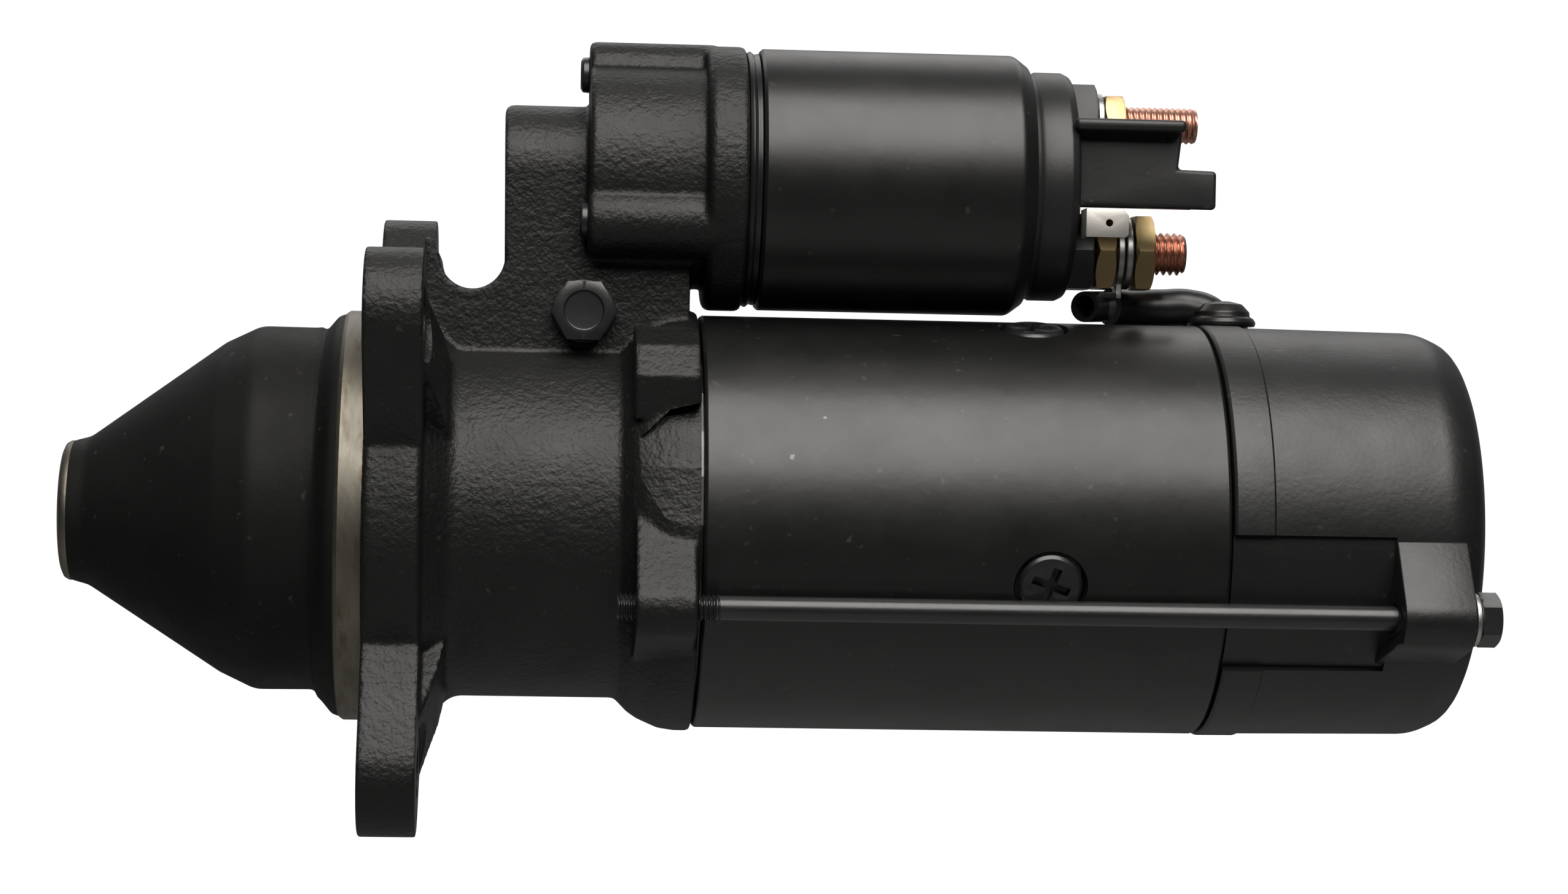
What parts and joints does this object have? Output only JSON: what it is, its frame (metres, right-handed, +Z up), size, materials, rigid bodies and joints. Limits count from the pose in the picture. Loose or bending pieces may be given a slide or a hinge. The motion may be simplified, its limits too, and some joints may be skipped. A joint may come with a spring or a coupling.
{
  "type": "starter motor",
  "caption": "Geared vehicle starter motor: closed conical nose, eared flange, cylindrical motor body, and a solenoid above that swings a shift lever.",
  "frame": {"origin": "on the motor shaft axis, in the plane of the mounting flange's front face, inside the spigot", "axes": "+X along the motor shaft from the nose to the rear cover, +Z up towards the solenoid, -Y the side seen in the picture"},
  "size_m": [0.3043, 0.1161, 0.17],
  "materials": {
    "black_casting": "semi-gloss black paint over a rough sand casting",
    "black_paint": "smooth satin black paint",
    "black_steel": "black painted or oxidised steel hardware",
    "machined_iron": "bare machined iron or steel inside the starter",
    "bright_steel": "bare or zinc plated steel",
    "copper": "copper, satin",
    "brass": "plain brass",
    "bronze": "sintered bronze",
    "black_plastic": "black moulded plastic",
    "black_rubber": "black rubber",
    "carbon": "copper-graphite brush"
  },
  "bodies": {
    "frame": {"battery_nut": "brass", "battery_stud": "copper", "battery_washer": "bright_steel", "brush_plate": "bright_steel", "centre_bearing_plate": "machined_iron", "drive_end_housing": "black_casting", "field_coil_set": "copper", "field_lead": "black_rubber", "lead_grommet": "black_rubber", "lead_lug": "bright_steel", "lever_pivot_bolt": "black_steel", "motor_nut_inner": "brass", "motor_nut_outer": "brass", "motor_stud": "copper", "motor_washer": "bright_steel", "nose_bush": "bronze", "pole_screw_1": "black_steel", "pole_screw_2": "black_steel", "pole_screw_3": "black_steel", "pole_screw_4": "black_steel", "pole_shoe_1": "machined_iron", "pole_shoe_2": "machined_iron", "pole_shoe_3": "machined_iron", "pole_shoe_4": "machined_iron", "rear_bush": "bronze", "rear_cover": "black_casting", "ring_gear": "machined_iron", "solenoid_can": "black_paint", "solenoid_coil": "copper", "solenoid_core": "machined_iron", "solenoid_gasket": "black_rubber", "solenoid_screw_1": "black_steel", "solenoid_screw_2": "black_steel", "solenoid_screw_3": "black_steel", "spade_terminal": "bright_steel", "terminal_cap": "black_plastic", "through_bolt_1": "black_steel", "through_bolt_2": "black_steel", "through_bolt_washer_1": "bright_steel", "through_bolt_washer_2": "bright_steel", "yoke_tube": "black_paint"},
    "lever": {"shift_lever": "machined_iron"},
    "drive_shaft": {"output_shaft": "machined_iron", "pinion_stop_ring": "black_steel"},
    "clutch": {"clutch_shell": "bright_steel"},
    "drive_pinion": {"pinion": "bright_steel"},
    "armature": {"armature_shaft": "machined_iron", "armature_core": "machined_iron", "armature_windings": "copper", "commutator": "copper"},
    "solenoid_plunger": {"plunger": "bright_steel", "plunger_spring": "bright_steel"},
    "moving_contact": {"contact_disc": "copper"},
    "planet_1": {"planet_gear_1": "machined_iron"},
    "planet_2": {"planet_gear_2": "machined_iron"},
    "planet_3": {"planet_gear_3": "machined_iron"},
    "brush_carriage_1": {"brush_1": "carbon"},
    "brush_carriage_2": {"brush_2": "carbon"},
    "brush_carriage_3": {"brush_3": "carbon"},
    "brush_carriage_4": {"brush_4": "carbon"}
  },
  "joints": [
    {"name": "armature_spin", "type": "hinge", "parent": "frame", "child": "armature", "pos_m": [0.12, 0, 0], "axis": [1, 0, 0], "continuous": true},
    {"name": "output_shaft_spin", "type": "hinge", "parent": "frame", "child": "drive_shaft", "pos_m": [0, 0, 0], "axis": [1, 0, 0], "continuous": true},
    {"name": "drive_slide", "type": "slide", "parent": "drive_shaft", "child": "clutch", "axis": [-1, 0, 0], "range_m": [0, 0.0149]},
    {"name": "pinion_overrun", "type": "hinge", "parent": "clutch", "child": "drive_pinion", "pos_m": [0, 0, 0], "axis": [1, 0, 0], "continuous": true},
    {"name": "lever_swing", "type": "hinge", "parent": "frame", "child": "lever", "pos_m": [0.0452, 0, 0.0449], "axis": [0, 1, 0], "range_deg": [0, 19.1]},
    {"name": "plunger_slide", "type": "slide", "parent": "frame", "child": "solenoid_plunger", "axis": [1, 0, 0], "range_m": [0, 0.01], "deforming": ["plunger_spring"]},
    {"name": "contact_slide", "type": "slide", "parent": "frame", "child": "moving_contact", "axis": [1, 0, 0], "range_m": [0, 0.0031]},
    {"name": "planet_spin_1", "type": "hinge", "parent": "drive_shaft", "child": "planet_1", "pos_m": [0.0765, 0, 0.0216], "axis": [1, 0, 0], "continuous": true},
    {"name": "planet_spin_2", "type": "hinge", "parent": "drive_shaft", "child": "planet_2", "pos_m": [0.0765, 0.01871, -0.0108], "axis": [1, 0, 0], "continuous": true},
    {"name": "planet_spin_3", "type": "hinge", "parent": "drive_shaft", "child": "planet_3", "pos_m": [0.0765, -0.01871, -0.0108], "axis": [1, 0, 0], "continuous": true},
    {"name": "brush_slide_1", "type": "slide", "parent": "frame", "child": "brush_carriage_1", "axis": [0, -0.9063, 0.4226], "range_m": [0, 0.004]},
    {"name": "brush_slide_2", "type": "slide", "parent": "frame", "child": "brush_carriage_2", "axis": [0, 0.4226, 0.9063], "range_m": [0, 0.004]},
    {"name": "brush_slide_3", "type": "slide", "parent": "frame", "child": "brush_carriage_3", "axis": [0, 0.9063, -0.4226], "range_m": [0, 0.004]},
    {"name": "brush_slide_4", "type": "slide", "parent": "frame", "child": "brush_carriage_4", "axis": [0, -0.4226, -0.9063], "range_m": [0, 0.004]}
  ],
  "couplings": [
    {"joint": "output_shaft_spin", "follows": "armature_spin", "ratio": 0.22222},
    {"joint": "planet_spin_1", "follows": "armature_spin", "ratio": -0.62222},
    {"joint": "planet_spin_2", "follows": "armature_spin", "ratio": -0.62222},
    {"joint": "planet_spin_3", "follows": "armature_spin", "ratio": -0.62222},
    {"joint": "lever_swing", "follows": "plunger_slide", "rad_per_m": 32.815},
    {"joint": "drive_slide", "follows": "plunger_slide", "ratio": 1.4868},
    {"joint": "contact_slide", "follows": "plunger_slide", "ratio": 0.3}
  ]
}
